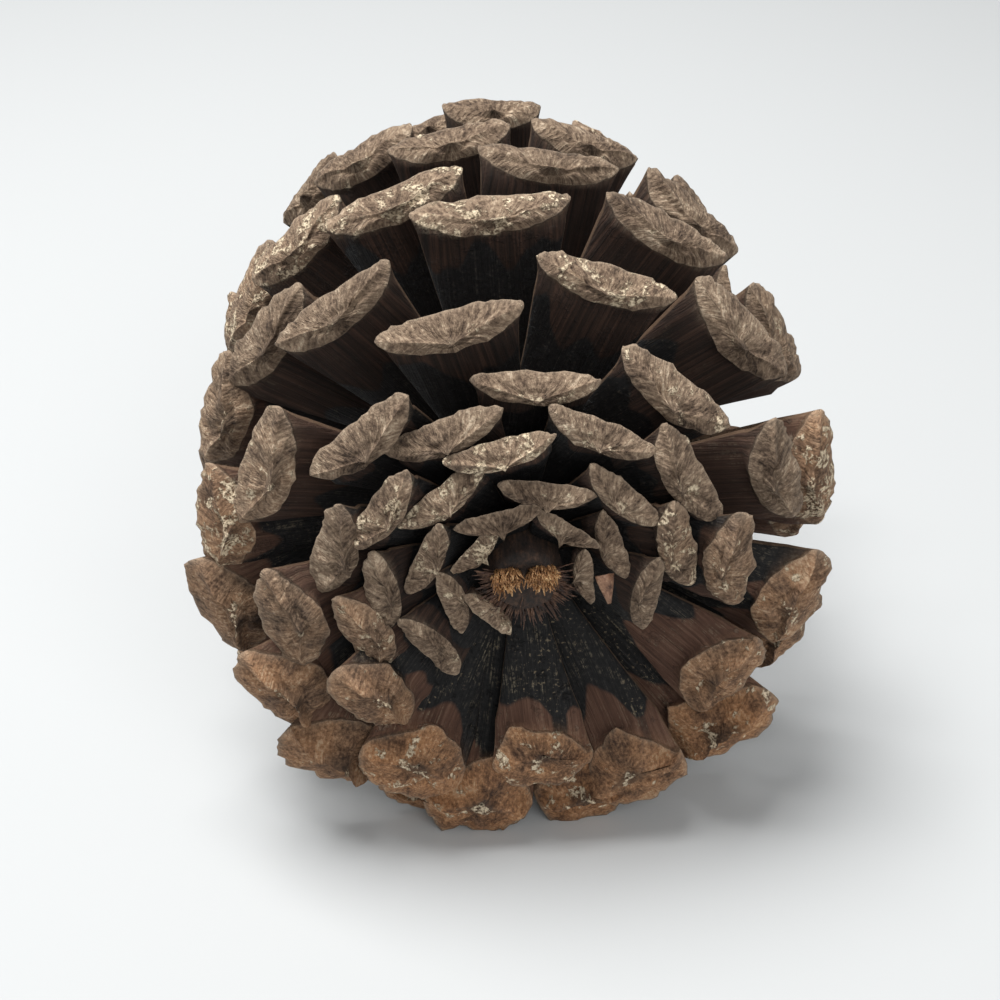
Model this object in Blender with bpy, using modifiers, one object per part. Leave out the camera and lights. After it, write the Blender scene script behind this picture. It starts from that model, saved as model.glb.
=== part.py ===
"""An open pine cone lying on its side, stalk end forward.

The cone is one grown woody body: a slim turned core along its axis, with its seed scales set
on it in a golden-angle spiral. Each scale is a thin blade that widens outwards and ends in a
thick lens-shaped tip with a keel across it and a small boss. Below the stalk scar no small
scales grew, so the long blades behind them show there as a fan. The cone is first built with
its axis along +Y and its stalk end at y = 0, and is then laid down on z = 0. +Z is up.
"""

import math
import random

import bmesh
import bpy
from mathutils import Matrix, Vector

MM = 0.001

# The spiral: how many scales there are and how far each is turned from the last.
SCALE_COUNT = 106
GOLDEN_ANGLE = math.radians(137.508)
FIRST_AZIMUTH = math.radians(225.0)

# Each line is a scale number, then the radius and the distance along the core, in mm, of its tip,
# as on the upper side.
TIP_STATIONS = (
    (0, 9.0, 1.0),
    (10, 18.0, 0.5),
    (20, 27.0, 2.0),
    (30, 34.0, 5.5),
    (36, 39.0, 9.0),
    (42, 47.0, 16.0),
    (50, 54.0, 29.0),
    (60, 57.0, 46.0),
    (70, 56.0, 63.0),
    (80, 52.5, 82.0),
    (90, 49.0, 102.0),
    (98, 38.0, 117.0),
    (103, 23.0, 126.0),
    (106, 9.0, 131.0),
)
# Each line is a scale number, then the distance along the core, in mm, where its blade starts.
ROOT_STATIONS = (
    (0, 6.0),
    (20, 12.0),
    (36, 21.0),
    (42, 26.0),
    (60, 42.0),
    (80, 71.0),
    (98, 101.0),
    (106, 114.0),
)
# Each line is a scale number, then the width and the height of its tip, in mm.
SIZE_STATIONS = (
    (0, 13.0, 3.4),
    (10, 17.0, 4.2),
    (20, 20.5, 4.8),
    (30, 23.0, 5.4),
    (42, 26.5, 6.2),
    (60, 28.0, 6.8),
    (80, 24.5, 8.2),
    (94, 18.0, 8.2),
    (106, 7.0, 4.5),
)

# The base is oblique. Each line is a scale number, then how much nearer the stalk end, in mm, its
# tip would stand straight below the axis than straight above it.
LOW_SHIFT_STATIONS = (
    (0, 0.0),
    (10, 1.0),
    (30, 8.0),
    (36, 14.0),
    (42, 21.0),
    (50, 33.0),
    (56, 42.0),
    (62, 48.0),
    (70, 52.0),
    (80, 42.0),
    (90, 20.0),
    (98, 6.0),
    (106, 0.0),
)
# A blade starts nearer the stalk end by this share of its tip's shift.
LOW_ROOT_SHARE = 0.5
# Each line is a scale number, then how much of the lower side's growth it shows.
LOW_STATIONS = ((0, 0.0), (10, 0.1), (36, 0.8), (50, 1.0), (66, 0.9), (106, 0.0))
# Each line is a scale number, then how much further out, in mm, its tip would stand straight
# below the axis than straight above it.
LOW_SPREAD_STATIONS = ((0, 0.0), (36, 3.0), (50, 4.0), (70, 6.0), (84, 12.0), (94, 11.0), (106, 0.0))
# The tips on the lower side are narrower by this share, taller by this one and slant more, and
# their blades are narrower by this share half way along.
LOW_NARROWING = 0.22
LOW_RISE = 0.85
LOW_SLANT = 1.1
LOW_BLADE_NARROWING = 0.35
# The tips underneath reach no lower than this below the axis, in mm, where the ground met them.
GROUND_REACH = 57.0
# No small scales grew in this sector of azimuth, up to this tip radius in mm.
BARE_FROM = math.radians(226.0)
BARE_TO = math.radians(345.0)
BARE_RADIUS = 38.0

# Core: each line is a distance along it and its radius, in mm.
CORE_PROFILE = ((2.0, 6.5), (8.0, 8.0), (24.0, 10.0), (60.0, 9.5), (94.0, 6.5), (118.0, 2.5))
CORE_SIDES = 12
SCAR_RADIUS = 5.6
SCAR_DEPTH = 1.2

# One scale: rings along it and corners round it.
RINGS = 5
CORNERS = 8
ROOT_SINK = 0.55
BLADE_HALF_WIDTHS = (0.17, 0.31, 0.43)
BLADE_PLACES = (0.14, 0.56, 1.0)
BACK_MARGIN = 1.0
BLADE_UPPER = (1.0, 0.9, 1.1)
BLADE_LOWER = (1.2, 1.1, 1.4)
BLADE_BOW = 1.6
TIP_UPPER_SHARE = 0.55
TIP_SLANT = 0.5
TIP_CURL = 0.40
FACE_WIDTH_SHARE = 0.52
FACE_BULGE = 0.17
BOSS_BULGE = 0.30
BOSS_DROP = -0.10

# Small natural differences between scales: the largest turn, roll, shift and growth.
SEED = 11
TURN_JITTER = math.radians(2.0)
ROLL_JITTER = math.radians(6.0)
SHIFT_JITTER = 0.9
SIZE_JITTER = 0.06

# How the cone lies: the turn about its axis, the tilt of its axis, and the depth in mm that its
# lowest tips are worn flat.
REST_ROLL = math.radians(-1.3)
REST_TILT = math.radians(2.8)
REST_WEAR = 1.2

CONE_COLOR = (0.16, 0.105, 0.075, 1.0)
CONE_ROUGHNESS = 0.8


def smooth_value(stations, at, column):
    """A column's value at a place, on a smooth curve through the stations."""
    places = [line[0] for line in stations]
    values = [line[column] for line in stations]
    at = min(max(at, places[0]), places[-1])
    left = max(k for k in range(len(places) - 1) if places[k] <= at)
    slopes = []
    for k in (left, left + 1):
        before = max(k - 1, 0)
        after = min(k + 1, len(places) - 1)
        slopes.append((values[after] - values[before]) / (places[after] - places[before]))
    span = places[left + 1] - places[left]
    t = (at - places[left]) / span
    start = (2 * t**3 - 3 * t**2 + 1) * values[left] + (t**3 - 2 * t**2 + t) * span * slopes[0]
    end = (3 * t**2 - 2 * t**3) * values[left + 1] + (t**3 - t**2) * span * slopes[1]
    return start + end


def lowness(azimuth):
    """How far an azimuth is towards the underside: 0 straight above the axis, 1 straight below."""
    return (1 - math.sin(azimuth)) / 2


def is_bare(azimuth, radius):
    turned = azimuth % math.tau
    return BARE_FROM < turned < BARE_TO and radius < BARE_RADIUS


def scale_plan(number):
    """Where one scale starts and ends, and the size of its tip, or None where none grew."""
    draw = random.Random(SEED * 1000 + number)
    azimuth = FIRST_AZIMUTH + number * GOLDEN_ANGLE + draw.uniform(-1, 1) * TURN_JITTER
    radius = smooth_value(TIP_STATIONS, number, 1)
    if is_bare(azimuth, radius):
        return None
    low = lowness(azimuth) * smooth_value(LOW_STATIONS, number, 1)
    shift = lowness(azimuth) * smooth_value(LOW_SHIFT_STATIONS, number, 1)
    root_along = smooth_value(ROOT_STATIONS, number, 1) - LOW_ROOT_SHARE * shift
    growth = 1 + draw.uniform(-1, 1) * SIZE_JITTER
    spread = lowness(azimuth) * smooth_value(LOW_SPREAD_STATIONS, number, 1)
    tip_radius = radius + spread + draw.uniform(-1, 1) * SHIFT_JITTER
    tip_along = smooth_value(TIP_STATIONS, number, 2) - shift + draw.uniform(-1, 1) * SHIFT_JITTER
    return {
        "azimuth": azimuth,
        "low": low,
        "roll": draw.uniform(-1, 1) * ROLL_JITTER,
        "tip_radius": min(tip_radius, GROUND_REACH / max(-math.sin(azimuth), 0.1)),
        "tip_along": tip_along,
        "root_radius": ROOT_SINK * smooth_value(CORE_PROFILE, root_along, 1),
        "root_along": root_along,
        "width": smooth_value(SIZE_STATIONS, number, 1) * growth * (1 - LOW_NARROWING * low),
        "height": smooth_value(SIZE_STATIONS, number, 2) * growth * (1 + LOW_RISE * low),
        "slant": TIP_SLANT + LOW_SLANT * low,
    }


def blade_line(plan, share):
    """Point, direction and upper normal of a blade's bowed middle line, as (radius, along) pairs."""
    run = Vector((plan["tip_radius"] - plan["root_radius"], plan["tip_along"] - plan["root_along"]))
    side = Vector((-run.y, run.x)).normalized()
    root = Vector((plan["root_radius"], plan["root_along"]))
    point = root + run * share + side * (BLADE_BOW * 4 * share * (1 - share))
    heading = (run + side * (BLADE_BOW * 4 * (1 - 2 * share))).normalized()
    return point, heading, Vector((-heading.y, heading.x))


def back_place(plan):
    """Share of the length where a blade ends, just behind the lower edge of its thick tip."""
    run = math.hypot(plan["tip_radius"] - plan["root_radius"], plan["tip_along"] - plan["root_along"])
    depth = plan["slant"] * plan["height"] * (1 - 0.5 * TIP_UPPER_SHARE) + BACK_MARGIN
    return 1 - depth / run


def ring_offsets(plan, ring, angle):
    """Share of length, and the offsets in mm across, above and beyond, of one corner of a scale."""
    width, height = plan["width"], plan["height"]
    side, rise = math.cos(angle), math.sin(angle)
    if ring == 0:
        return 0.0, 0.0, 0.0, 0.0
    if ring <= len(BLADE_PLACES):
        k = ring - 1
        place = BLADE_PLACES[k] * back_place(plan)
        thick = BLADE_UPPER[k] if rise > 0 else BLADE_LOWER[k]
        curl = TIP_CURL * height * side * side * place * place * 0.6
        narrow = 1 - LOW_BLADE_NARROWING * plan["low"] * (1 - BLADE_PLACES[k] ** 2)
        return place, width * BLADE_HALF_WIDTHS[k] * narrow * side, thick * rise + curl, 0.0
    upper = height * (TIP_UPPER_SHARE if rise > 0 else 1 - TIP_UPPER_SHARE)
    lens = upper * rise * abs(rise) + TIP_CURL * height * side * side
    back = -plan["slant"] * 0.5 * TIP_UPPER_SHARE * height
    if ring == len(BLADE_PLACES) + 1:
        return 1.0, width * 0.5 * side, lens, back + plan["slant"] * lens
    inner = FACE_WIDTH_SHARE if ring == RINGS else 0.0
    above = lens * inner if inner else BOSS_DROP * height
    bulge = (FACE_BULGE if inner else BOSS_BULGE) * height / math.hypot(1, plan["slant"])
    beyond = back + plan["slant"] * above + bulge
    return 1.0, width * 0.5 * side * inner, above - plan["slant"] * bulge, beyond


def scale_corner(plan, ring, angle):
    """Place in mm of one corner of a scale, in the cone's own frame."""
    share, across, above, beyond = ring_offsets(plan, ring, angle)
    point, heading, normal = blade_line(plan, share)
    if ring > len(BLADE_PLACES):
        turned = Matrix.Rotation(plan["roll"], 2) @ Vector((across, above))
        across, above = turned.x, turned.y
    flat = point + heading * beyond + normal * above
    outward = Vector((math.cos(plan["azimuth"]), 0.0, math.sin(plan["azimuth"])))
    sideways = Vector((math.sin(plan["azimuth"]), 0.0, -math.cos(plan["azimuth"])))
    return outward * flat.x + sideways * across + Vector((0.0, flat.y, 0.0))


def new_object(name, mesh, collection):
    thing = bpy.data.objects.new(name, mesh)
    collection.objects.link(thing)
    return thing


def add_scale(number, plan, collection):
    """One scale: a sphere whose rings are laid along the blade, from its root to its boss."""
    shape = bmesh.new()
    bmesh.ops.create_uvsphere(shape, u_segments=CORNERS, v_segments=RINGS + 1, radius=1.0)
    for vert in shape.verts:
        ring = round((0.5 + math.asin(min(max(vert.co.z, -1.0), 1.0)) / math.pi) * (RINGS + 1))
        angle = math.atan2(vert.co.y, vert.co.x)
        vert.co = scale_corner(plan, ring, angle) * MM
    bmesh.ops.recalc_face_normals(shape, faces=shape.faces)
    bmesh.ops.triangulate(shape, faces=shape.faces)
    mesh = bpy.data.meshes.new(f"scale_{number:03d}")
    shape.to_mesh(mesh)
    shape.free()
    return new_object(mesh.name, mesh, collection)


def applied_mesh(thing):
    """The object's mesh with its modifiers applied."""
    graph = bpy.context.evaluated_depsgraph_get()
    return bpy.data.meshes.new_from_object(thing.evaluated_get(graph))


def turned_core(collection):
    """The core, a profile turned about the axis, with the dished scar at its stalk end."""
    length = CORE_PROFILE[-1][0] + 1.5
    profile = [(0.0, length)]
    profile += [(radius, along) for along, radius in reversed(CORE_PROFILE)]
    profile += [(SCAR_RADIUS, 0.0), (0.0, SCAR_DEPTH)]
    mesh = bpy.data.meshes.new("core_profile")
    corners = [(radius * MM, 0.0, along * MM) for radius, along in profile]
    mesh.from_pydata(corners, [(k, k + 1) for k in range(len(corners) - 1)], [])
    core = new_object("core", mesh, collection)
    turn = core.modifiers.new("turn", "SCREW")
    turn.steps = turn.render_steps = CORE_SIDES
    turn.use_merge_vertices = True
    turn.merge_threshold = 0.00005
    bpy.context.view_layer.update()
    solid = applied_mesh(core)
    solid.transform(Matrix.Rotation(math.radians(-90), 4, "X"))
    shape = bmesh.new()
    shape.from_mesh(solid)
    bmesh.ops.triangulate(shape, faces=shape.faces)
    shape.to_mesh(solid)
    shape.free()
    core.modifiers.clear()
    core.data = solid
    return core


def fuse(core, scales):
    """Joins every scale to the core in one union and keeps the result as the core's mesh."""
    union = core.modifiers.new("scales", "BOOLEAN")
    union.operation = "UNION"
    union.operand_type = "COLLECTION"
    union.collection = scales
    union.solver = "EXACT"
    bpy.context.view_layer.update()
    fused = applied_mesh(core)
    core.modifiers.clear()
    core.data = fused
    for thing in list(scales.objects):
        bpy.data.objects.remove(thing)
    bpy.data.collections.remove(scales)


def keep_outer_body(mesh):
    """Keeps the largest connected shell, which fills sealed hollows and drops loose scraps."""
    shape = bmesh.new()
    shape.from_mesh(mesh)
    bmesh.ops.remove_doubles(shape, verts=shape.verts, dist=0.00001)
    shells = []
    left = set(shape.faces)
    while left:
        found = [left.pop()]
        for face in found:
            near = {other for edge in face.edges for other in edge.link_faces} & left
            left -= near
            found.extend(near)
        shells.append(found)
    shells.sort(key=len)
    spare = [face for shell in shells[:-1] for face in shell]
    bmesh.ops.delete(shape, geom=spare, context="FACES")
    bmesh.ops.triangulate(shape, faces=shape.faces)
    shape.to_mesh(mesh)
    shape.free()


def lay_down(core):
    """Lays the cone on z = 0 as it rests, with its lowest tips worn flat, and centres it."""
    core.data.transform(Matrix.Rotation(REST_ROLL, 4, "Y"))
    core.data.transform(Matrix.Rotation(-REST_TILT, 4, "X"))
    lowest = min(vert.co.z for vert in core.data.vertices)
    core.data.transform(Matrix.Translation((0.0, 0.0, -lowest - REST_WEAR * MM)))
    shape = bmesh.new()
    shape.from_mesh(core.data)
    everything = shape.verts[:] + shape.edges[:] + shape.faces[:]
    cut = bmesh.ops.bisect_plane(
        shape, geom=everything, plane_co=(0, 0, 0), plane_no=(0, 0, 1), clear_inner=True
    )
    rims = [part for part in cut["geom_cut"] if isinstance(part, bmesh.types.BMEdge)]
    bmesh.ops.holes_fill(shape, edges=rims)
    bmesh.ops.triangulate(shape, faces=shape.faces)
    shape.to_mesh(core.data)
    shape.free()
    spots = [vert.co for vert in core.data.vertices]
    middle = [(min(s[k] for s in spots) + max(s[k] for s in spots)) / 2 for k in (0, 1)]
    core.data.transform(Matrix.Translation((-middle[0], -middle[1], 0.0)))


def wood_material():
    wood = bpy.data.materials.new("cone_wood")
    wood.use_nodes = True
    shader = wood.node_tree.nodes["Principled BSDF"]
    shader.inputs["Base Color"].default_value = CONE_COLOR
    shader.inputs["Roughness"].default_value = CONE_ROUGHNESS
    shader.inputs["Metallic"].default_value = 0.0
    return wood


def main():
    for thing in list(bpy.data.objects):
        bpy.data.objects.remove(thing)
    parts = bpy.data.collections.new("pine_cone")
    scales = bpy.data.collections.new("scales")
    for collection in (parts, scales):
        bpy.context.scene.collection.children.link(collection)
    core = turned_core(parts)
    for number in range(SCALE_COUNT):
        plan = scale_plan(number)
        if plan:
            add_scale(number, plan, scales)
    fuse(core, scales)
    keep_outer_body(core.data)
    lay_down(core)
    core.name = core.data.name = "cone"
    core.data.materials.clear()
    core.data.materials.append(wood_material())


main()
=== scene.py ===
import math
import random

import bmesh
import bpy
from mathutils import Matrix, Vector, noise


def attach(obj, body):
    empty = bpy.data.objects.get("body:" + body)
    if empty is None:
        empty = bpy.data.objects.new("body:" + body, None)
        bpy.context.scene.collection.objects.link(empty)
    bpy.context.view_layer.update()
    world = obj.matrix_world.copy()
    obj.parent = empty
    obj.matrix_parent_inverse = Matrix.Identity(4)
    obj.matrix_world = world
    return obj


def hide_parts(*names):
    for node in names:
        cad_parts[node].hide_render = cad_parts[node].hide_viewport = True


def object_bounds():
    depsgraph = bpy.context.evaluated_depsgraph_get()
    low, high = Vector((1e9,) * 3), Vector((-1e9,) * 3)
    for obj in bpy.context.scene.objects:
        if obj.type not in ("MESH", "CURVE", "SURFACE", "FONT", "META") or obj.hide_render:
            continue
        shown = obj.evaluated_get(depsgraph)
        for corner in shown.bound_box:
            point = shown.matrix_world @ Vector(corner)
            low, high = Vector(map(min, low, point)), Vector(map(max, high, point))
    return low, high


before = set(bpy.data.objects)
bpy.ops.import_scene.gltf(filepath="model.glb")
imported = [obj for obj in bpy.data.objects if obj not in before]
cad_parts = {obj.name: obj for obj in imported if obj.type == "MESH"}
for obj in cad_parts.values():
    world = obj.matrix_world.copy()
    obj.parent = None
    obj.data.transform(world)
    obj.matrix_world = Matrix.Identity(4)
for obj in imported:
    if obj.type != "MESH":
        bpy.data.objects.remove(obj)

cad_low, cad_high = [Vector(corner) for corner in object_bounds()]

# Core
# The hard axis of the cone, spun to its slim profile and roughened, from which the scales grow.
# At the stalk end it is torn off, which leaves a dished scar soaked with dark resin.
# Lengths here are in mm in the cone's own frame, with its axis along +Y from the stalk end.
CORE_PROFILE = ((2.0, 6.5), (8.0, 8.0), (24.0, 10.0), (60.0, 9.5), (94.0, 6.5), (118.0, 2.5))
CORE_STEPS = 48
CORE_STRIPS = 30
CORE_ROUGHNESS = 0.06
CORE_LUMP_RATE = 0.6
CORE_POINT = 1.5
MERGE_DISTANCE = 0.001
SCAR_RADIUS = 5.6
SCAR_DEPTH = 1.2
SCAR_BOWL = ((0.0, 1.0), (0.5, 0.8), (1.0, 0.0))
MM = 0.001
REST_ROLL = math.radians(-1.3)
REST_TILT = math.radians(2.8)
REST_SHIFT = Vector((-0.124, -62.249, 64.131))

laid = (
    Matrix.Translation(REST_SHIFT)
    @ Matrix.Rotation(-REST_TILT, 4, "X")
    @ Matrix.Rotation(REST_ROLL, 4, "Y")
)


def lay_down(mesh):
    """Turns a mesh from the cone's own frame, in mm, to where the cone lies, in metres.

    The fuller faces of some low tips would stand past the box of the plain cone, by up to 4 mm
    at the stalk end. Any such point is pressed flat onto that side of the box.
    """
    for vert in mesh.verts:
        spot = laid @ vert.co * MM
        for k in range(3):
            spot[k] = min(max(spot[k], cad_low[k]), cad_high[k])
        vert.co = spot


def show_piece(name, mesh, material):
    """Makes a mesh a piece of the cone as it is seen, and frees it."""
    data = bpy.data.meshes.new(name)
    mesh.to_mesh(data)
    mesh.free()
    data.shade_smooth()
    data.materials.append(material)
    piece = bpy.data.objects.new(name, data)
    bpy.context.scene.collection.objects.link(piece)
    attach(piece, "root")
    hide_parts("cone")


def smooth_value(stations, at, column):
    """A column's value at a place, on a smooth curve through the stations."""
    places = [line[0] for line in stations]
    values = [line[column] for line in stations]
    at = min(max(at, places[0]), places[-1])
    left = max(k for k in range(len(places) - 1) if places[k] <= at)
    slopes = []
    for k in (left, left + 1):
        before = max(k - 1, 0)
        after = min(k + 1, len(places) - 1)
        slopes.append((values[after] - values[before]) / (places[after] - places[before]))
    span = places[left + 1] - places[left]
    t = (at - places[left]) / span
    start = (2 * t**3 - 3 * t**2 + 1) * values[left] + (t**3 - 2 * t**2 + t) * span * slopes[0]
    end = (3 * t**2 - 2 * t**3) * values[left + 1] + (t**3 - t**2) * span * slopes[1]
    return start + end


def turned_core():
    """The core as a spun profile with a dished stalk end."""
    mesh = bmesh.new()
    first, last = CORE_PROFILE[0][0], CORE_PROFILE[-1][0]
    profile = [(SCAR_RADIUS * out, SCAR_DEPTH * deep) for out, deep in SCAR_BOWL]
    for strip in range(CORE_STRIPS + 1):
        along = first + (last - first) * strip / CORE_STRIPS
        profile.append((smooth_value(CORE_PROFILE, along, 1), along))
    profile.append((0.0, last + CORE_POINT))
    verts = [mesh.verts.new((radius, along, 0.0)) for radius, along in profile]
    edges = [mesh.edges.new(pair) for pair in zip(verts, verts[1:])]
    bmesh.ops.spin(
        mesh, geom=verts + edges, axis=(0, 1, 0), cent=(0, 0, 0),
        steps=CORE_STEPS, angle=math.tau, use_merge=True,
    )
    bmesh.ops.remove_doubles(mesh, verts=mesh.verts, dist=MERGE_DISTANCE)
    for vert in mesh.verts:
        swell = 1 + CORE_ROUGHNESS * noise.noise(vert.co * CORE_LUMP_RATE)
        vert.co.x *= swell
        vert.co.z *= swell
    lay_down(mesh)
    bmesh.ops.recalc_face_normals(mesh, faces=mesh.faces)
    return mesh


# Where the shader nodes used here keep what is linked to them.
OBJECT_OUTPUT = 3
VECTOR_OUTPUT = 1
MIX_FACTOR, MIX_UNDER, MIX_OVER, MIX_RESULT = 0, 6, 7, 2


class Wire:
    """A shader socket that takes part in sums, so that a mask reads as an expression."""

    def __init__(self, tree, socket=None):
        self.tree = tree
        self.socket = socket

    def node(self, kind, settings=None, values=None, output=0):
        """Adds a node: its settings first, then the values or links of its sockets."""
        made = self.tree.nodes.new(kind)
        for name, value in (settings or {}).items():
            if name == "stops":
                stops = made.color_ramp.elements
                while len(stops) < len(value):
                    stops.new(0.5)
                for stop, (place, colour) in zip(stops, value):
                    stop.position = place
                    stop.color = (*colour, 1.0)
            else:
                setattr(made, name, value)
        for name, value in (values or {}).items():
            if isinstance(value, Wire):
                self.tree.links.new(value.socket, made.inputs[name])
            else:
                made.inputs[name].default_value = value
        return Wire(self.tree, made.outputs[output])

    def math(self, operation, first, second):
        return self.node("ShaderNodeMath", {"operation": operation}, {0: first, 1: second})

    def __add__(self, other):
        return self.math("ADD", self, other)

    def __radd__(self, other):
        return self.math("ADD", other, self)

    def __sub__(self, other):
        return self.math("SUBTRACT", self, other)

    def __rsub__(self, other):
        return self.math("SUBTRACT", other, self)

    def __mul__(self, other):
        return self.math("MULTIPLY", self, other)

    def over(self, level, softness):
        """A mask of where this is over a level, with an edge this soft."""
        raised = self - (level - softness)
        return self.node("ShaderNodeClamp", None, {0: raised * (0.5 / softness)})

    def part(self, axis):
        return self.node("ShaderNodeSeparateXYZ", None, {0: self}, axis)

    def stretched(self, factors):
        return self.node("ShaderNodeVectorMath", {"operation": "MULTIPLY"}, {0: self, 1: factors})

    def mottle(self, frequency, detail=3.0, roughness=0.55):
        values = {"Vector": self, "Scale": frequency, "Detail": detail, "Roughness": roughness}
        return self.node("ShaderNodeTexNoise", None, values)

    def ramp(self, *stops):
        return self.node("ShaderNodeValToRGB", {"stops": stops}, {0: self})

    def mixed(self, under, over):
        """A colour that goes from one to the other by this mask."""
        values = {MIX_FACTOR: self, MIX_UNDER: under, MIX_OVER: over}
        return self.node("ShaderNodeMix", {"data_type": "RGBA"}, values, MIX_RESULT)

    def shaded(self, colour):
        """A colour multiplied by this brightness."""
        grey = self.node("ShaderNodeCombineColor", None, {0: self, 1: self, 2: self})
        settings = {"data_type": "RGBA", "blend_type": "MULTIPLY"}
        values = {MIX_FACTOR: 1.0, MIX_UNDER: colour, MIX_OVER: grey}
        return self.node("ShaderNodeMix", settings, values, MIX_RESULT)


def new_material(name):
    """A material with its Principled shader and a wire to start expressions from."""
    material = bpy.data.materials.new(name)
    material.use_nodes = True
    tree = material.node_tree
    return material, tree.nodes["Principled BSDF"], Wire(tree)


def finish_material(start, shader, colour, roughness, height, depth):
    """Links a colour, a roughness and a relief, whose depth is in metres, to the shader."""
    links = start.tree.links
    links.new(colour.socket, shader.inputs["Base Color"])
    links.new(roughness.socket, shader.inputs["Roughness"])
    values = {"Strength": 1.0, "Distance": depth, "Height": height}
    bump = start.node("ShaderNodeBump", None, values)
    links.new(bump.socket, shader.inputs["Normal"])


CORE_WOOD = (
    (0.34, (0.008, 0.006, 0.005)),
    (0.52, (0.030, 0.016, 0.010)),
    (0.72, (0.11, 0.055, 0.030)),
)
CORE_RELIEF = 0.0006


def core_material():
    """Dark resin-soaked heart wood with fibres along it."""
    material, shader, start = new_material("core_wood")
    place = start.node("ShaderNodeTexCoord", None, None, OBJECT_OUTPUT)
    fibre = place.stretched((1.0, 0.12, 1.0)).mottle(900.0, 4.0, 0.6)
    speck = place.mottle(1500.0, 3.0, 0.6)
    colour = (fibre * 0.7 + speck * 0.3).ramp(*CORE_WOOD)
    finish_material(start, shader, colour, 0.85 - speck * 0.2, fibre, CORE_RELIEF)
    return material


show_piece("core", turned_core(), core_material())

# Torn fibres in the scar
# Where the cone broke off its branch, tapered splinters of amber resin-soaked wood stand in two
# clumps in the dished scar, and short brown bristles lie outwards round its rim.
CLUMP_FIBRES = 460
RIM_FIBRES = 320
RIM_FROM = math.radians(155.0)
RIM_TO = math.radians(385.0)
CLUMP_PLACES = ((-3.3, 1.6), (3.0, 1.6))
CLUMP_SPREAD = 2.6
CLUMP_FLATNESS = 0.8
CLUMP_SWAY = (-0.4, 0.4)
CLUMP_LIFT = (-0.4, 0.5)
CLUMP_LENGTHS = (1.6, 3.8)
CLUMP_RADII = (0.22, 0.48)
CLUMP_SEED = 5
RIM_FEET = (3.2, 6.8)
RIM_FORWARD = -0.4
RIM_OUTWARD = (0.8, 1.8)
RIM_SWAY = (-0.3, 0.3)
RIM_LENGTHS = (1.6, 4.2)
RIM_RADII = (0.14, 0.34)
RIM_SEED = 6
FOOT_DEPTH = 1.0
SPLINTER_SIDES = 5
SPLINTER_TAPER = 0.2


def splinter(mesh, foot, lean, length, radius):
    """One tapered five-sided splinter that stands on its foot and leans the given way."""
    rod = bmesh.ops.create_cone(
        mesh, cap_ends=True, segments=SPLINTER_SIDES,
        radius1=radius, radius2=radius * SPLINTER_TAPER, depth=length,
    )
    aim = lean.to_track_quat("Z", "Y").to_matrix().to_4x4()
    place = Matrix.Translation(foot) @ aim @ Matrix.Translation((0, 0, length / 2))
    bmesh.ops.transform(mesh, matrix=place, verts=rod["verts"])


def clump_fibres():
    """The splinters of the two clumps, which stand out of the scar."""
    mesh = bmesh.new()
    draw = random.Random(CLUMP_SEED)
    for number in range(CLUMP_FIBRES):
        x, z = CLUMP_PLACES[number % 2]
        turn, reach = draw.uniform(0, math.tau), CLUMP_SPREAD * math.sqrt(draw.random())
        up = math.sin(turn) * reach * CLUMP_FLATNESS
        foot = Vector((x + math.cos(turn) * reach, FOOT_DEPTH, z + up))
        lean = Vector((draw.uniform(*CLUMP_SWAY), -1.0, draw.uniform(*CLUMP_LIFT)))
        splinter(mesh, foot, lean, draw.uniform(*CLUMP_LENGTHS), draw.uniform(*CLUMP_RADII))
    lay_down(mesh)
    return mesh


def rim_fibres():
    """The bristles that lie outwards round the scar's rim."""
    mesh = bmesh.new()
    draw = random.Random(RIM_SEED)
    for number in range(RIM_FIBRES):
        turn = draw.uniform(RIM_FROM, RIM_TO)
        out = Vector((math.cos(turn), 0, math.sin(turn)))
        foot = out * draw.uniform(*RIM_FEET) + Vector((0, FOOT_DEPTH, 0))
        lean = out * draw.uniform(*RIM_OUTWARD)
        lean += Vector((draw.uniform(*RIM_SWAY), RIM_FORWARD, draw.uniform(*RIM_SWAY)))
        splinter(mesh, foot, lean, draw.uniform(*RIM_LENGTHS), draw.uniform(*RIM_RADII))
    lay_down(mesh)
    return mesh


# Fibre colours, from the dark foot to the pale broken ends.
AMBER_FIBRE = (0.10, 0.042, 0.016), (0.40, 0.20, 0.080), (0.85, 0.58, 0.30)
BRISTLE_FIBRE = (0.018, 0.010, 0.007), (0.080, 0.038, 0.023), (0.24, 0.13, 0.075)
FIBRE_STOPS = (0.36, 0.50, 0.66)
FIBRE_RELIEF = 0.0002


def fibre_material(name, colours):
    """Torn wood fibre, from its dark foot colour to its pale broken ends."""
    material, shader, start = new_material(name)
    place = start.node("ShaderNodeTexCoord", None, None, OBJECT_OUTPUT)
    patch = place.mottle(520.0, 3.0, 0.6)
    speck = place.mottle(2200.0, 2.0, 0.6)
    colour = (patch * 0.7 + speck * 0.3).ramp(*zip(FIBRE_STOPS, colours))
    finish_material(start, shader, colour, 0.75 - speck * 0.3, speck, FIBRE_RELIEF)
    return material


amber = fibre_material("amber_fibre", AMBER_FIBRE)
bristle = fibre_material("bristle_fibre", BRISTLE_FIBRE)
show_piece("amber_fibres", clump_fibres(), amber)
show_piece("rim_bristles", rim_fibres(), bristle)

# Broken stub
# The stump of one small scale that broke away beside the scar, with its pale fresh wood showing.
# It grew from the core like the others.
STUB_PLACE = (14.0, -1.6, 2.0)
STUB_LEAN = (0.15, -0.75, -1.0)
STUB_RADIUS = 2.0
STUB_LENGTH = 5.2
STUB_CUTS = 3
STUB_LUMP_RATE = 1.1
STUB_LUMPS = 0.25
STUB_SEED = 7
STUB_WOOD = (0.06, 0.026, 0.014), (0.19, 0.095, 0.055), (0.34, 0.20, 0.12)


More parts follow.
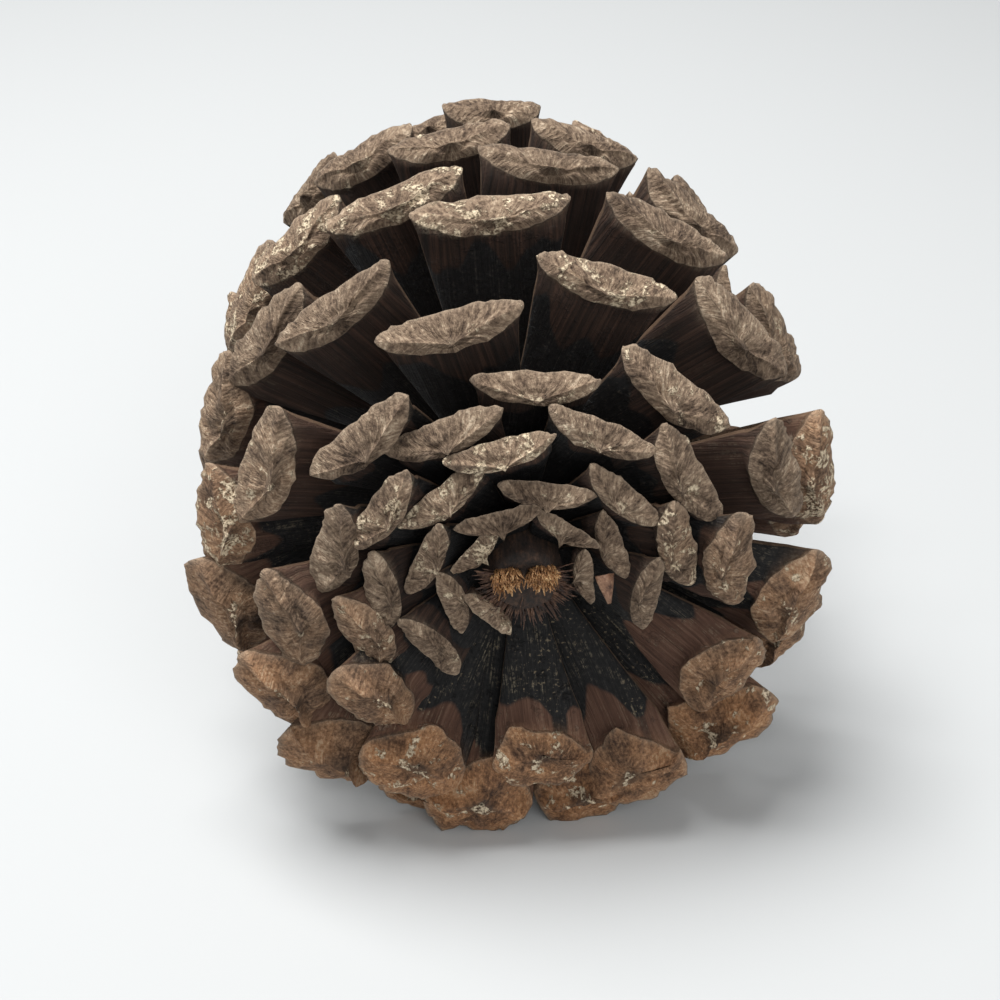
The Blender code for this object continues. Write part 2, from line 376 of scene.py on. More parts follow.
def broken_stub():
    """A tapering stump with the splinters' sides, roughened all over."""
    mesh = bmesh.new()
    splinter(mesh, Vector(STUB_PLACE), Vector(STUB_LEAN), STUB_LENGTH, STUB_RADIUS)
    bmesh.ops.subdivide_edges(mesh, edges=mesh.edges, cuts=STUB_CUTS, use_grid_fill=True)
    # A noise vector, unlike plain noise, is drawn from a seed, and from the clock without one.
    noise.seed_set(STUB_SEED)
    for vert in mesh.verts:
        vert.co += noise.noise_vector(vert.co * STUB_LUMP_RATE) * STUB_LUMPS
    lay_down(mesh)
    return mesh


show_piece("broken_stub", broken_stub(), fibre_material("stub_wood", STUB_WOOD))

# Base scales
# A cone grows its scales one after another in a golden-angle spiral round its core. The first
# ones stayed small and crowded: hard boat-shaped tips, each the end of a thin wooden blade.
# Each tip has a crimped edge, fine wrinkles and a boss with a tiny prickle.
SCALE_COUNT = 106
FIRST_WIDE_SCALE = 36
FIRST_TIP_SCALE = 68
GOLDEN_ANGLE = math.radians(137.508)
FIRST_AZIMUTH = math.radians(225.0)

# Each station line is a scale number, then lengths in mm or a share.
TIP_STATIONS = (
    (0, 9.0, 1.0),
    (10, 18.0, 0.5),
    (20, 27.0, 2.0),
    (30, 34.0, 5.5),
    (36, 39.0, 9.0),
    (42, 47.0, 16.0),
    (50, 54.0, 29.0),
    (60, 57.0, 46.0),
    (70, 56.0, 63.0),
    (80, 52.5, 82.0),
    (90, 49.0, 102.0),
    (98, 38.0, 117.0),
    (103, 23.0, 126.0),
    (106, 9.0, 131.0),
)
ROOT_STATIONS = (
    (0, 6.0),
    (20, 12.0),
    (36, 21.0),
    (42, 26.0),
    (60, 42.0),
    (80, 71.0),
    (98, 101.0),
    (106, 114.0),
)
SIZE_STATIONS = (
    (0, 13.0, 3.4),
    (10, 17.0, 4.2),
    (20, 20.5, 4.8),
    (30, 23.0, 5.4),
    (42, 26.5, 6.2),
    (60, 28.0, 6.8),
    (80, 24.5, 8.2),
    (94, 18.0, 8.2),
    (106, 7.0, 4.5),
)
LOW_SHIFT_STATIONS = (
    (0, 0.0),
    (10, 1.0),
    (30, 8.0),
    (36, 14.0),
    (42, 21.0),
    (50, 33.0),
    (56, 42.0),
    (62, 48.0),
    (70, 52.0),
    (80, 42.0),
    (90, 20.0),
    (98, 6.0),
    (106, 0.0),
)
LOW_ROOT_SHARE = 0.5
LOW_STATIONS = ((0, 0.0), (10, 0.1), (36, 0.8), (50, 1.0), (66, 0.9), (106, 0.0))
LOW_SPREAD_STATIONS = (
    (0, 0.0),
    (36, 3.0),
    (50, 4.0),
    (70, 6.0),
    (84, 12.0),
    (94, 11.0),
    (106, 0.0),
)
LOW_NARROWING = 0.22
LOW_RISE = 0.85
LOW_SLANT = 1.1
LOW_BLADE_NARROWING = 0.35
GROUND_REACH = 57.0
# No small scales grew in this sector below the scar, up to this tip radius in mm. The same test
# also leaves out two of the last ones at the far end.
BARE_FROM = math.radians(226.0)
BARE_TO = math.radians(345.0)
BARE_RADIUS = 38.0
LEAST_DOWNWARD = 0.1
ROOT_SINK = 0.55
BLADE_BOW = 1.6
TIP_SLANT = 0.5
TIP_UPPER_SHARE = 0.55
BACK_MARGIN = 1.0
SEED = 11
TURN_JITTER = math.radians(2.0)
ROLL_JITTER = math.radians(6.0)
SHIFT_JITTER = 0.9
SIZE_JITTER = 0.06

# One scale, as rings from its root to its boss. A blade line is a share of its length, its half
# width as a share of the tip's, and its thickness above and below the middle in mm.
CORNERS_ROUND = 64
BLADE_RINGS = 13
SHOULDER_RINGS = (0.3, 0.6, 0.85)
FACE_RINGS = (
    1.0, 0.965, 0.91, 0.84, 0.77, 0.70, 0.63, 0.56, 0.49,
    0.42, 0.35, 0.29, 0.23, 0.18, 0.13, 0.085, 0.045,
)
RING_COUNT = BLADE_RINGS + len(SHOULDER_RINGS) + len(FACE_RINGS)
BLADE_STATIONS = (
    (0.0, 0.12, 0.8, 0.9),
    (0.14, 0.17, 0.9, 1.1),
    (0.56, 0.31, 0.8, 1.0),
    (1.0, 0.43, 1.0, 1.3),
)
OPEN_FROM = 38
OPEN_FULL = 56
WEDGE_UPPER = 0.8
WEDGE_LOWER = 1.5
WEDGE_WIDTH = 0.03
WEDGE_POWER = 1.5
BLADE_FULLNESS = 0.75
BLADE_ROUNDING = 0.6
BLADE_CURL = 0.6
RIB_HEIGHT = 0.22
RIB_RATES = (0.55, 0.8)
WING = 0.35
WING_RATE = 3.0
GROOVE = 0.25
GRAIN_WRAP = 2.0
GRAIN_ROUNDING = 0.3
GRAIN_RUN = 5.0
TIP_CURL = 0.26
LOW_CURL_LOSS = 0.75

# The edge of a tip: how it rounds off above, below and at its sides, where the peak of a low tip
# leans, and its waves, each with a rate across, a rate along the rise, a shift and a strength.
RIM_FULLNESS = 0.86
UPPER_ROUNDING = 1.3
LOW_ROUNDING_LOSS = 0.35
LOWER_ROUNDING = 1.2
PEAK_LEAN = 0.9
PEAK_HEIGHT = 1.2
CRIMP = 0.40
CRIMP_WAVES = ((0.23, 1.0, 0.0, 1.3), (0.8, 2.0, 3.0, 0.9), (1.9, 3.0, 5.0, 0.45))
CRIMP_HEIGHT = 7.0
UPPER_CRIMP = 1.2
LOWER_CRIMP = 0.9
CORNER_RATE = 1.6
CORNER_SWELL = 1.7
CORNER_SHARES = (0.6, 0.5)
SHOULDER_POWER = 1.5
UPPER_WEATHERING = 0.6
LOWER_WEATHERING = 0.25

# The face of a tip: its bulge, keel, boss with a moat round it, prickle, lumps, wrinkles and
# folds. Widths are shares of the way from the boss to the edge.
FACE_BULGE = 0.27
KEEL_BULGE = 0.08
LOW_KEEL_BULGE = 0.24
BOSS_BULGE = 0.17
BOSS_DROP = -0.34
LOW_BOSS_RISE = 0.32
BULGE_POWER = 2.2
LOW_BULGE_POWER_LOSS = 0.9
KEEL_WIDTH = 0.30
BOSS_WIDTH = 0.16
MOAT_DEPTH = 0.06
MOAT_PLACE = 0.27
MOAT_WIDTH = 0.09
PRICKLE = 0.9
PRICKLE_WIDTH = 0.05
PRICKLE_DROP = 0.5
LUMPS = 0.55
LUMP_RATES = (0.30, 0.45)
WRINKLES = 0.34
WRINKLE_RATES = (0.95, 0.35)
RELIEF_GAIN = 3
RELIEF_LOSS = 0.6
FOLDS = 0.5
LOW_FOLDS = 0.6
FOLD_RATE = 2.3
LOW_FACE_BULGE = 0.13
FACE_GRAIN = (0.35, 0.65)
FACE_GRAIN_RISE = 0.42
FACE_GRAIN_PLACE = 20.0
EDGE_WIDTH = 0.05
BOSS_REACH = 0.22
LOW_BOSS_REACH = 0.24
LOW_BOSS_FLATNESS = 1.4

# How far the noise of one scale is taken from the next one's.
PEAK_STEP, RIM_STEP, RIB_STEP, WING_STEP, FACE_STEP = 1.7, 7.3, 3.3, 5.1, 2.7
GRAIN_STEPS = (3.7, 1.9, 11.3)

# What each point of a scale carries for the material.
MARKS = ("grain", "zone", "spot", "kind")

# How far resin stains the underside of a blade, as a share of its length.
STAIN_REACH = 0.92
STAIN_FADES_FROM = 62
FAR_STAIN_REACH = 0.87
STAIN_FADE = 0.006
STAIN_JITTER = 0.06
LOW_STAIN_GAIN = 0.08
MOST_UNSTAINED = 0.8


def scale_plan(number):
    """Where one scale starts and ends, and the size of its tip, or None where none grew."""
    draw = random.Random(SEED * 1000 + number)
    azimuth = FIRST_AZIMUTH + number * GOLDEN_ANGLE + draw.uniform(-1, 1) * TURN_JITTER
    radius = smooth_value(TIP_STATIONS, number, 1)
    if BARE_FROM < azimuth % math.tau < BARE_TO and radius < BARE_RADIUS:
        return None
    side = (1 - math.sin(azimuth)) / 2
    low = side * smooth_value(LOW_STATIONS, number, 1)
    shift = side * smooth_value(LOW_SHIFT_STATIONS, number, 1)
    root_along = smooth_value(ROOT_STATIONS, number, 1) - LOW_ROOT_SHARE * shift
    growth = 1 + draw.uniform(-1, 1) * SIZE_JITTER
    spread = side * smooth_value(LOW_SPREAD_STATIONS, number, 1)
    tip_radius = radius + spread + draw.uniform(-1, 1) * SHIFT_JITTER
    tip_along = smooth_value(TIP_STATIONS, number, 2) - shift + draw.uniform(-1, 1) * SHIFT_JITTER
    plan = {
        "number": number,
        "azimuth": azimuth,
        "low": low,
        "roll": draw.uniform(-1, 1) * ROLL_JITTER,
        "tip_radius": min(tip_radius, GROUND_REACH / max(-math.sin(azimuth), LEAST_DOWNWARD)),
        "tip_along": tip_along,
        "root_radius": ROOT_SINK * smooth_value(CORE_PROFILE, root_along, 1),
        "root_along": root_along,
        "width": smooth_value(SIZE_STATIONS, number, 1) * growth * (1 - LOW_NARROWING * low),
        "height": smooth_value(SIZE_STATIONS, number, 2) * growth * (1 + LOW_RISE * low),
        "slant": TIP_SLANT + LOW_SLANT * low,
    }
    run = math.hypot(plan["tip_radius"] - plan["root_radius"], tip_along - root_along)
    depth = plan["slant"] * plan["height"] * (1 - 0.5 * TIP_UPPER_SHARE) + BACK_MARGIN
    plan["blade_end"] = 1 - depth / run
    return plan


def blade_line(plan, share):
    """Point, direction and upper normal of a blade's bowed middle line, as (radius, along) pairs."""
    run = Vector((plan["tip_radius"] - plan["root_radius"], plan["tip_along"] - plan["root_along"]))
    side = Vector((-run.y, run.x)).normalized()
    root = Vector((plan["root_radius"], plan["root_along"]))
    point = root + run * share + side * (BLADE_BOW * 4 * share * (1 - share))
    heading = (run + side * (BLADE_BOW * 4 * (1 - 2 * share))).normalized()
    return point, heading, Vector((-heading.y, heading.x))


def eased(value, power):
    """A value raised to a power, with its sign kept."""
    return math.copysign(abs(value) ** power, value)


def bell(value, width):
    """1 at zero, and falling off smoothly beyond a width."""
    return math.exp(-((value / width) ** 2))


def tip_curl(plan, side):
    """How far the tip's corners stand up towards the cone's tip, in mm."""
    return TIP_CURL * (1 - LOW_CURL_LOSS * plan["low"]) * plan["height"] * side * side


def rim_point(plan, side, rise):
    """Across and above, in mm, of a point on the crimped edge of a scale's tip."""
    low = plan["low"]
    across = plan["width"] * 0.5 * eased(side, RIM_FULLNESS)
    if rise > 0:
        power = UPPER_ROUNDING - LOW_ROUNDING_LOSS * low
        reach = plan["height"] * TIP_UPPER_SHARE * rise**power
    else:
        boat = abs(rise) ** LOWER_ROUNDING
        lean = PEAK_LEAN * noise.noise(Vector((plan["number"] * PEAK_STEP, 0.5, 0.5)))
        peak = min((1 - side) / (1 - lean), (1 + side) / (1 + lean))
        peak = boat + (PEAK_HEIGHT * peak - boat) * low
        reach = -plan["height"] * (1 - TIP_UPPER_SHARE) * peak
    key = plan["number"] * RIM_STEP
    wave = 0.0
    for across_rate, rise_rate, shift, strength in CRIMP_WAVES:
        spot = Vector((across * across_rate, rise_rate * rise, key + shift))
        wave += noise.noise(spot) * strength
    wave *= CRIMP * (plan["height"] / CRIMP_HEIGHT) * (UPPER_CRIMP if rise > 0 else LOWER_CRIMP)
    spot = Vector((side * CORNER_RATE, rise * CORNER_RATE, key + 7.0))
    corner = low * noise.noise(spot) * CORNER_SWELL
    above = reach + tip_curl(plan, side) + wave + corner * CORNER_SHARES[1]
    return across + corner * CORNER_SHARES[0], above


def blade_grain(across, rise, place):
    """Where a point lies in the grain of a blade: across, round its edge and along."""
    return Vector((across, GRAIN_WRAP * eased(rise, GRAIN_ROUNDING), place * GRAIN_RUN))


def blade_point(plan, share, side, rise):
    """A point of the blade: its place and offsets, then its grain, zone and spot values."""
    place, number = plan["blade_end"] * share, plan["number"]
    if share == 0:
        return place, 0.0, 0.0, 0.0, Vector((0, 0, 0)), Vector((0, 0, 0)), Vector((0, 0, rise))
    narrow = 1 - LOW_BLADE_NARROWING * plan["low"] * (1 - share * share)
    opened = min(max((number - OPEN_FROM) / (OPEN_FULL - OPEN_FROM), 0.0), 1.0)
    wedge = opened * share**WEDGE_POWER
    half = plan["width"] * (smooth_value(BLADE_STATIONS, share, 1) + WEDGE_WIDTH * wedge) * narrow
    thick = smooth_value(BLADE_STATIONS, share, 2 if rise > 0 else 3)
    thick += (WEDGE_UPPER if rise > 0 else WEDGE_LOWER) * wedge
    across = half * eased(side, BLADE_FULLNESS)
    spot = Vector((across * RIB_RATES[0], share * RIB_RATES[1], number * RIB_STEP))
    rib = RIB_HEIGHT * noise.noise(spot)
    wing = WING * noise.noise(Vector((share * WING_RATE, side, number * WING_STEP)))
    above = thick * eased(rise, BLADE_ROUNDING) + tip_curl(plan, side) * place * place * BLADE_CURL
    above += rib * (1 - abs(side)) - GROOVE * (1 - abs(side)) * (rise < 0)
    grain, spot = blade_grain(across, rise, place), Vector((side, share, rise))
    return place, across + wing * abs(side), above, 0.0, grain, Vector((0, 0, 0)), spot


def shoulder_point(plan, blend, side, rise):
    """A point between the end of the blade and the edge of the tip."""
    start = blade_point(plan, 1.0, side, rise)
    rim_across, rim_above = rim_point(plan, side, rise)
    ease = blend**SHOULDER_POWER
    across = start[1] + (rim_across - start[1]) * ease
    above = start[2] + (rim_above - start[2]) * ease
    place = start[0] + (1 - start[0]) * blend
    back = -plan["slant"] * 0.5 * TIP_UPPER_SHARE * plan["height"]
    beyond = (back + plan["slant"] * rim_above) * blend
    grain = blade_grain(across, rise, place)
    weathered = (UPPER_WEATHERING if rise > 0 else LOWER_WEATHERING) * blend**2
    return place, across, above, beyond, grain, Vector((weathered, 0, 0)), Vector((side, 1, rise))


def face_point(plan, ratio, side, rise):
    """A point of the tip's face, at a share of the way from the boss to the edge."""
    low, height, key = plan["low"], plan["height"], plan["number"] * FACE_STEP
    rim_across, rim_above = rim_point(plan, side, rise)
    drop = (BOSS_DROP + LOW_BOSS_RISE * low) * height
    across = rim_across * ratio
    above = drop + (rim_above - drop) * ratio
    power = BULGE_POWER - LOW_BULGE_POWER_LOSS * low
    bulge = (FACE_BULGE + LOW_FACE_BULGE * low) * height * (1 - ratio**power)
    keel = (KEEL_BULGE + LOW_KEEL_BULGE * low) * height
    bulge += keel * bell(rise, KEEL_WIDTH) * 4 * ratio * (1 - ratio)
    bulge += BOSS_BULGE * height * bell(ratio, BOSS_WIDTH)
    bulge -= MOAT_DEPTH * height * bell(ratio - MOAT_PLACE, MOAT_WIDTH)
    spread = min(1.0, ratio * RELIEF_GAIN) * (1 - RELIEF_LOSS * ratio**4)
    spot = Vector((across * LUMP_RATES[0], above * LUMP_RATES[1], key))
    bulge += LUMPS * spread * noise.noise(spot)
    spot = Vector((across * WRINKLE_RATES[0], above * WRINKLE_RATES[1], key + 9.0))
    bulge += WRINKLES * spread * noise.noise(spot)
    fold = noise.noise(Vector((side * FOLD_RATE, rise * FOLD_RATE, key + 4.0)))
    bulge += (FOLDS + LOW_FOLDS * low) * fold * 4 * ratio * (1 - ratio)
    prickle = PRICKLE * bell(ratio, PRICKLE_WIDTH)
    bulge += prickle
    above -= PRICKLE_DROP * prickle
    slant = plan["slant"]
    bulge /= math.hypot(1, slant)
    beyond = slant * (above - 0.5 * TIP_UPPER_SHARE * height) + bulge
    above -= slant * bulge
    grain_across = rim_across * (FACE_GRAIN[0] + FACE_GRAIN[1] * ratio)
    grain = Vector((grain_across, (above + slant * bulge) * FACE_GRAIN_RISE, FACE_GRAIN_PLACE))
    widened = ratio * (1 + LOW_BOSS_FLATNESS * low * abs(rise))
    boss = bell(widened, BOSS_REACH + LOW_BOSS_REACH * low)
    zone = Vector((1, math.exp(-(1 - ratio) / EDGE_WIDTH), boss))
    return 1.0, across, above, beyond, grain, zone, Vector((side, 1, rise))


def scale_point(plan, ring, angle):
    """The point of a scale on one of its rings, counted from the root."""
    side, rise = math.cos(angle), math.sin(angle)
    if ring <= BLADE_RINGS:
        return blade_point(plan, ring / BLADE_RINGS, side, rise)
    ring -= BLADE_RINGS + 1
    if ring < len(SHOULDER_RINGS):
        return shoulder_point(plan, SHOULDER_RINGS[ring], side, rise)
    ring -= len(SHOULDER_RINGS)
    return face_point(plan, FACE_RINGS[ring] if ring < len(FACE_RINGS) else 0, side, rise)


def grow_scale(plan):
    """One scale, from a sphere whose rings are laid along the blade, from root to boss."""
    scale = bmesh.new()
    layers = [scale.verts.layers.float_vector.new(name) for name in MARKS]
    bmesh.ops.create_uvsphere(
        scale, u_segments=CORNERS_ROUND, v_segments=RING_COUNT + 1, radius=1.0
    )
    outward = Vector((math.cos(plan["azimuth"]), 0.0, math.sin(plan["azimuth"])))
    sideways = Vector((math.sin(plan["azimuth"]), 0.0, -math.cos(plan["azimuth"])))
    turn, lift = math.cos(plan["roll"]), math.sin(plan["roll"])
    number = plan["number"]
    draw = random.Random(number)
    tone = draw.random()
    bare = 0.0
    if number > OPEN_FROM:
        bare = MOST_UNSTAINED * (1 - plan["low"]) * draw.random() ** 2
    reach = stain_reach(number) - bare + LOW_STAIN_GAIN * plan["low"]
    reach += draw.uniform(-STAIN_JITTER, STAIN_JITTER)
    kind = Vector((plan["low"], tone, reach))
    offset = Vector([number * step for step in GRAIN_STEPS])
    for vert in scale.verts:
        turned = 0.5 + math.asin(min(max(vert.co.z, -1.0), 1.0)) / math.pi
        ring = round(turned * (RING_COUNT + 1))
        angle = math.atan2(vert.co.y, vert.co.x)
        share, across, above, beyond, grain, zone, spot = scale_point(plan, ring, angle)
        point, heading, normal = blade_line(plan, share)
        if ring > BLADE_RINGS:
            across, above = across * turn - above * lift, across * lift + above * turn
        flat = point + heading * beyond + normal * above
        vert.co = outward * flat.x + sideways * across + Vector((0.0, flat.y, 0.0))
        for layer, value in zip(layers, (grain + offset, zone, spot, kind)):
            vert[layer] = value
    bmesh.ops.recalc_face_normals(scale, faces=scale.faces)
    grown = bpy.data.meshes.new("grown")
    scale.to_mesh(grown)
    scale.free()
    return grown


def stain_reach(number):
    """How far along its underside a blade is stained black by resin, as a share of its length."""
    if number < STAIN_FADES_FROM:
        return STAIN_REACH
    return FAR_STAIN_REACH - STAIN_FADE * (number - STAIN_FADES_FROM)


def grow_scales(first, last):
    """The scales from one number to another, in one mesh, laid as the cone lies."""
    mesh = bmesh.new()
    for number in range(first, last):
        plan = scale_plan(number)
        if plan:
            grown = grow_scale(plan)
            mesh.from_mesh(grown)
            bpy.data.meshes.remove(grown)
    lay_down(mesh)
    return mesh


# Wood colours, dark to light, each after the noise value where it stands.
TOP_WOOD = (
    (0.36, (0.050, 0.024, 0.014)),
    (0.50, (0.120, 0.060, 0.036)),
    (0.64, (0.200, 0.115, 0.070)),
)
UNDER_WOOD = (
    (0.36, (0.012, 0.008, 0.006)),
    (0.50, (0.030, 0.017, 0.012)),
    (0.66, (0.085, 0.045, 0.030)),
)
LOW_UNDER_WOOD = (
    (0.34, (0.050, 0.026, 0.018)),
    (0.50, (0.105, 0.053, 0.035)),
    (0.66, (0.180, 0.103, 0.070)),
)
RESIN = (
    (0.40, (0.004, 0.004, 0.004)),
    (0.56, (0.012, 0.011, 0.011)),
    (0.68, (0.055, 0.048, 0.040)),
)
GREY_TIP = (
    (0.39, (0.042, 0.026, 0.017)),
    (0.46, (0.150, 0.100, 0.067)),
    (0.54, (0.330, 0.235, 0.158)),
    (0.61, (0.640, 0.500, 0.360)),
)
WARM_TIP = (
    (0.38, (0.050, 0.022, 0.011)),
    (0.46, (0.175, 0.082, 0.038)),
    (0.54, (0.380, 0.190, 0.088)),
    (0.62, (0.560, 0.370, 0.220)),
)
CRUST = ((0.42, (0.36, 0.26, 0.16)), (0.60, (0.80, 0.66, 0.47)))
STREAK_COLOUR = (0.30, 0.25, 0.17, 1.0)
FLECK_COLOUR = (0.30, 0.23, 0.14, 1.0)
# Colour of the painted highlight along a blade's side edges.
EDGE_HIGHLIGHT_COLOUR = (0.24, 0.15, 0.09, 1.0)
# The pale colour of a tip's rim, which also serves as painted highlight on its upper edge.
PALE_RIM_AND_HIGHLIGHT_COLOUR = (0.42, 0.32, 0.23, 1.0)
SCAB_COLOUR = (0.060, 0.040, 0.028, 1.0)
WOOD_RELIEF = 0.0017


def scale_marks(start):
    """What the scales carry at each point, and the noises that all their wood shares."""
    grain, zone, spot, kind = [
        start.node("ShaderNodeAttribute", {"attribute_name": name}, None, VECTOR_OUTPUT)
        for name in MARKS
    ]
    place = start.node("ShaderNodeTexCoord", None, None, OBJECT_OUTPUT)
    rise = spot.part(2)
    return {
        "grain": grain,
        "place": place,
        "face": zone.part(0),
        "edge": zone.part(1),
        "boss": zone.part(2),
        "side": spot.part(0),
        "share": spot.part(1),
        "rise": rise,
        "under": (0 - rise).over(0.0, 0.10),
        "low": kind.part(0),
        "tone": kind.part(1),
        "reach": kind.part(2),
        "wrinkle": grain.mottle(0.95, 3.0, 0.6),
        "crinkle": grain.mottle(2.6, 3.0, 0.65),
        "pits": place.mottle(1400.0, 4.0, 0.65),
        "cloud": place.mottle(150.0, 3.0, 0.55),
        "fibre": grain.stretched((1.0, 1.0, 0.22)).mottle(1.3, 4.0, 0.6),
        "hair": grain.stretched((1.0, 1.0, 0.12)).mottle(4.5, 3.0, 0.6),
    }


def stain_mask(at):
    """Where resin has soaked the underside of a blade, out to a lobed edge."""
    lobes = at["grain"].stretched((1.0, 1.0, 0.0)).mottle(0.14, 0.5, 0.4)
    left_over = at["reach"] + (lobes - 0.5) * 0.75 + (at["hair"] - 0.5) * 0.03 - at["share"]
    return left_over.over(0.0, 0.012) * at["under"]


def blade_colour(at, stain):
    """Red-brown fibres, black resin with pale streaks and flecks, and a painted highlight as a thin
    pale line along the side edges.
    """
    hair, pits, place, low, under = at["hair"], at["pits"], at["place"], at["low"], at["under"]
    strands = at["fibre"] * 0.55 + hair * 0.25 + at["cloud"] * 0.2
    lowest = (low * 1.25 - 0.15).over(0.35, 0.3)
    below = lowest.mixed(strands.ramp(*UNDER_WOOD), strands.ramp(*LOW_UNDER_WOOD))
    blade = under.mixed(strands.ramp(*TOP_WOOD), below)
    blade = stain.mixed(blade, (hair * 0.45 + pits * 0.55).ramp(*RESIN))
    streak = hair.over(0.58, 0.08) * pits.over(0.50, 0.05) * under * low
    streak = streak * place.mottle(200.0, 3.0, 0.6).over(0.55, 0.05)
    blade = (streak * 0.7).mixed(blade, STREAK_COLOUR)
    fleck = pits.over(0.635, 0.02) * place.mottle(90.0, 2.0, 0.5).over(0.54, 0.06) * stain * low
    blade = (fleck * 0.7).mixed(blade, FLECK_COLOUR)
    outward = at["side"].math("ABSOLUTE", at["side"], 0.0)
    # Painted highlight: a thin pale line along the side edges of each blade, from a third of its
    # length out.
    edge_highlight = outward.over(0.985, 0.01) * at["share"].over(0.35, 0.1)
    return (edge_highlight * 0.5).mixed(blade, EDGE_HIGHLIGHT_COLOUR)


def crust_mask(at):
    """Patches of dry pale crust, mostly near the boss and more on some scales than others."""
    crust = at["place"].mottle(300.0, 4.0, 0.6) + at["boss"] * (0.05 + at["low"] * 0.10)
    crust = crust + (at["tone"] - 0.5) * 0.20
    return crust.over(0.632, 0.02) * at["pits"].over(0.45, 0.04)


def tip_colour(at, crust):
    """Wrinkled weathered wood, warmer low down, with a pale rim, made paler on its upper edge as
    painted highlight, and a dark scab at low bosses.
    """
    low, cloud = at["low"], at["cloud"]
    lines = at["wrinkle"] * 0.55 + at["crinkle"] * 0.45
    spots = at["pits"] * 0.5 + cloud * 0.5
    relief = lines * (0.52 - low * 0.27) + spots * (0.48 + low * 0.27)
    warmth = (low * 1.3 - 0.30 + (cloud - 0.5) * 1.2 + (at["tone"] - 0.5) * 0.4).over(0.5, 0.5)
    tip = warmth.mixed(relief.ramp(*GREY_TIP), relief.ramp(*WARM_TIP))
    # The rim's own paleness all round, doubled on the upper edge by painted highlight.
    rim = at["edge"] * (0.35 + at["rise"].over(0.0, 0.3) * 0.35)
    tip = rim.mixed(tip, PALE_RIM_AND_HIGHLIGHT_COLOUR)
    scab = (at["boss"] * 1.2 + (cloud - 0.5) * 1.5).over(0.5, 0.3) * low
    tip = (scab * 0.7).mixed(tip, SCAB_COLOUR)
    return crust.mixed(tip, at["pits"].ramp(*CRUST))


def scale_material():
    """Weathered scale wood: wrinkled grey-brown tips, red-brown blades and black resin stain."""
    material, shader, start = new_material("scale_wood")
    shader.inputs["Specular IOR Level"].default_value = 0.3
    at = scale_marks(start)
    stain, crust, face = stain_mask(at), crust_mask(at), at["face"]
    shade = at["tone"] * 0.30 + 0.85 + at["rise"] * at["low"] * face * 0.16
    colour = shade.shaded(face.mixed(blade_colour(at, stain), tip_colour(at, crust)))
    rough = 0.90 - stain * 0.30 - crust * 0.15
    tip_height = face * (at["wrinkle"] * 0.45 + at["crinkle"] * 0.40 + at["pits"] * 0.30)
    blade_height = (1 - face) * (at["fibre"] * 0.35 + at["hair"] * 0.25 + at["pits"] * 0.12)
    height = tip_height + blade_height + crust * 0.2
    finish_material(start, shader, colour, rough, height, WOOD_RELIEF)
    return material


scale_wood = scale_material()
show_piece("base_scales", grow_scales(0, FIRST_WIDE_SCALE), scale_wood)

# Lower and middle scales
# The widest scales. On the upper side they stand open on long bare blades. On the underside they
# bend back towards the stalk end and press together like roof tiles, so their keeled tips and
# the ribbed fan of their stained blades show below the scar.
show_piece("wide_scales", grow_scales(FIRST_WIDE_SCALE, FIRST_TIP_SCALE), scale_wood)

# Scales towards the tip
# They get narrower again and point forward round the far end of the cone.
show_piece("tip_scales", grow_scales(FIRST_TIP_SCALE, SCALE_COUNT), scale_wood)

# Floor and light
# A plain pale floor. One soft studio light hangs above, a little to the left, and a weaker one
# fills in from the front.
FLOOR_SIZE = 6.0
FLOOR_ROUGHNESS = 0.9
FLOOR_COLOUR = (0.55, 0.56, 0.56, 1.0)
WORLD_COLOUR = (0.95, 0.98, 1.0, 1.0)
WORLD_STRENGTH = 0.30
LIGHT_TARGET = Vector((0.0, 0.0, 0.05))
# Each light's name, place and size in metres, and power in watts.
LIGHTS = (
    ("key_light", (-0.22, 0.12, 0.93), 0.50, 12.5),
    ("fill_light", (0.30, -0.75, 0.65), 0.7, 3.4),
)
bpy.ops.mesh.primitive_plane_add(size=FLOOR_SIZE)
floor = bpy.context.object
floor.name = "floor"
floor_material, floor_shader, _ = new_material("floor")
floor_shader.inputs["Base Color"].default_value = FLOOR_COLOUR
floor_shader.inputs["Roughness"].default_value = FLOOR_ROUGHNESS
floor.data.materials.append(floor_material)

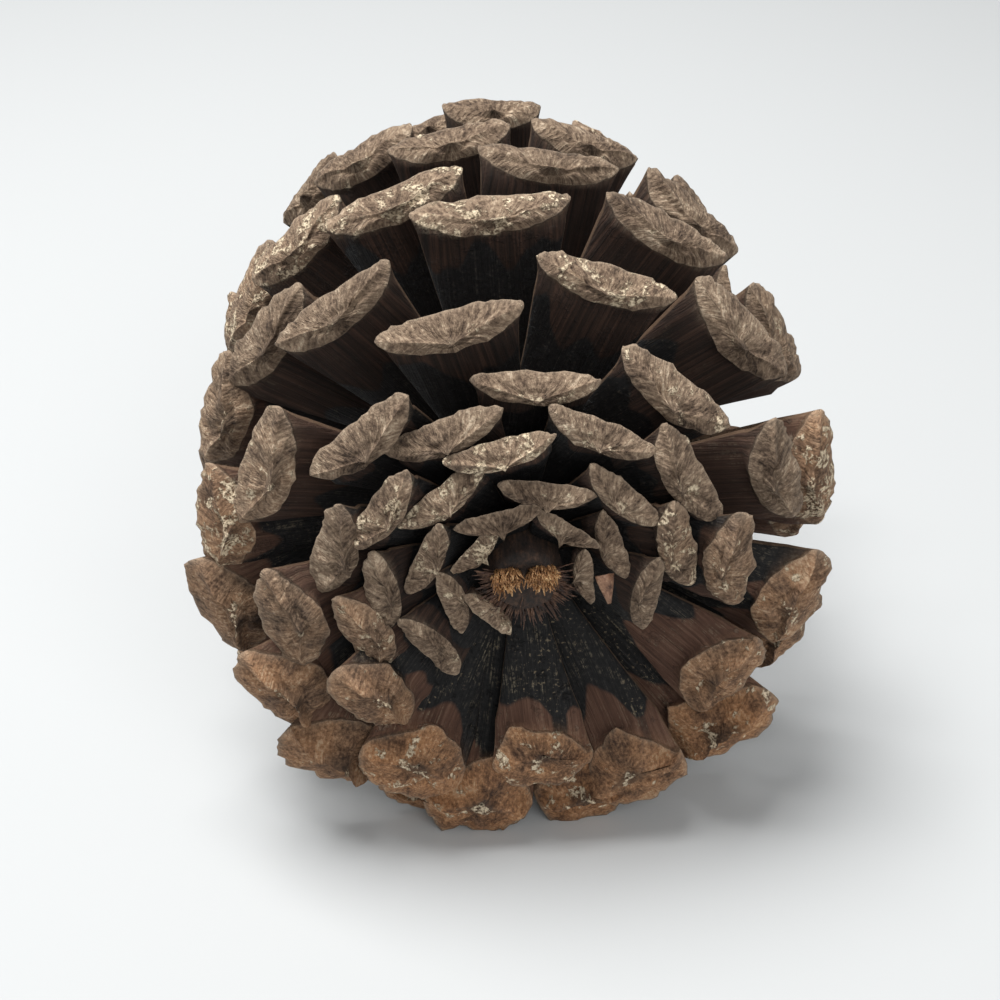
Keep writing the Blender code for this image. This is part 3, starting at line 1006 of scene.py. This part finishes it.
world = bpy.data.worlds.new("studio")
bpy.context.scene.world = world
world.use_nodes = True
world.node_tree.nodes["Background"].inputs["Color"].default_value = WORLD_COLOUR
world.node_tree.nodes["Background"].inputs["Strength"].default_value = WORLD_STRENGTH


def add_light(name, place, size, power):
    """A square soft light that faces the cone."""
    light = bpy.data.lights.new(name, "AREA")
    light.size = size
    light.energy = power
    lamp = bpy.data.objects.new(name, light)
    lamp.location = place
    lamp.rotation_euler = (LIGHT_TARGET - Vector(place)).to_track_quat("-Z", "Y").to_euler()
    bpy.context.scene.collection.objects.link(lamp)


for values in LIGHTS:
    add_light(*values)

# Camera
# It looks at the scar from above the stalk end, a little from the right. Its lens is given by
# the focal length in pixels of the 1000 pixel frame, and the scar's place in that frame.
CAMERA_DISTANCE = 0.290
CAMERA_TURN = math.radians(4.9)
CAMERA_RISE = math.radians(38.0) + REST_TILT
FOCAL_PIXELS = 1600.0
FRAME_PIXELS = 1000.0
SCAR_PIXEL = (526.0, 584.0)
SENSOR_WIDTH = 36.0
CLIP_START = 0.01
facing = Vector((
    math.sin(CAMERA_TURN) * math.cos(CAMERA_RISE),
    math.cos(CAMERA_TURN) * math.cos(CAMERA_RISE),
    -math.sin(CAMERA_RISE),
))
rightward = Vector((math.cos(CAMERA_TURN), -math.sin(CAMERA_TURN), 0.0))
upward = rightward.cross(facing)
camera_data = bpy.data.cameras.new("camera")
camera_data.sensor_width = SENSOR_WIDTH
camera_data.lens = SENSOR_WIDTH * FOCAL_PIXELS / FRAME_PIXELS
camera_data.shift_x = -(SCAR_PIXEL[0] - FRAME_PIXELS / 2) / FRAME_PIXELS
camera_data.shift_y = (SCAR_PIXEL[1] - FRAME_PIXELS / 2) / FRAME_PIXELS
camera_data.clip_start = CLIP_START
camera = bpy.data.objects.new("camera", camera_data)
turned_frame = Matrix((rightward, upward, -facing)).transposed().to_4x4()
eye = REST_SHIFT * MM - facing * CAMERA_DISTANCE
camera.matrix_world = Matrix.Translation(eye) @ turned_frame
bpy.context.scene.collection.objects.link(camera)
bpy.context.scene.camera = camera
bpy.context.scene.view_settings.view_transform = "Standard"
